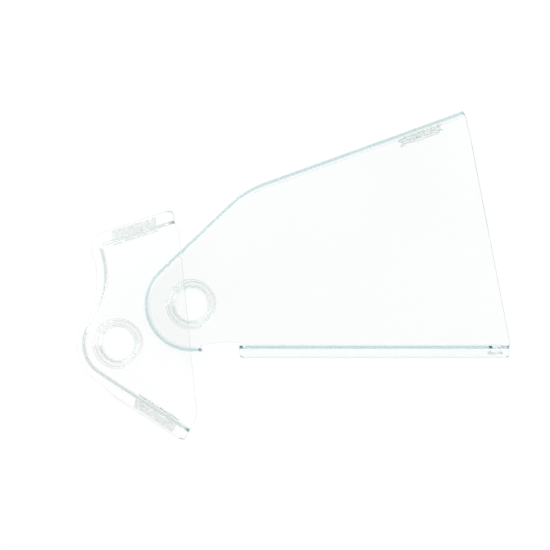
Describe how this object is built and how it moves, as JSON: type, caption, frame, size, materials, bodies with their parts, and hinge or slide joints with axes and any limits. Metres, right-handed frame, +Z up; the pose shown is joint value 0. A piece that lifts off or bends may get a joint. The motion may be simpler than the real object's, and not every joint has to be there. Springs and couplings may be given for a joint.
{
  "type": "sneeze guard",
  "caption": "Transparent food guard: flanged clear leaves that swing on flanged rail bushes, with self-adhesive grip pads inside their walls.",
  "frame": {"origin": "middle of the footprint, on the surface that the leaves' walls stand on", "axes": "+Z up out of the level plates and along both hub axes, +X from the small leaf towards the large leaf's open edge, +Y towards the sloping top walls"},
  "size_m": [0.3554, 0.2682, 0.0365],
  "materials": {
    "clear_sheet": "clear, polished, with a faint blue-green tint at the edges",
    "clear_bush": "clear, moulded",
    "clear_clip": "clear, moulded",
    "pad_adhesive": "translucent pressure-sensitive adhesive",
    "pad_strip": "translucent strip with fine mushroom-headed stems"
  },
  "bodies": {
    "rail_bushes": {"small_bush": "clear_bush", "small_bush_clip": "clear_clip", "large_bush": "clear_bush", "large_bush_clip": "clear_clip"},
    "small_leaf": {"small_leaf": "clear_sheet", "small_top_adhesive": "pad_adhesive", "small_top_strip": "pad_strip", "small_bottom_adhesive": "pad_adhesive", "small_bottom_strip": "pad_strip"},
    "large_leaf": {"large_leaf": "clear_sheet", "large_top_adhesive": "pad_adhesive", "large_top_strip": "pad_strip", "large_top_mating_strip": "pad_strip", "large_top_mating_adhesive": "pad_adhesive"}
  },
  "joints": [
    {"name": "small_leaf_swing", "type": "hinge", "parent": "rail_bushes", "child": "small_leaf", "pos_m": [-0.13854, -0.05579, 0.0293], "axis": [0, 0, 1], "range_deg": [-5, 20]},
    {"name": "large_leaf_swing", "type": "hinge", "parent": "rail_bushes", "child": "large_leaf", "pos_m": [-0.08074, -0.02449, 0.0243], "axis": [0, 0, 1], "range_deg": [-45, 12]}
  ]
}
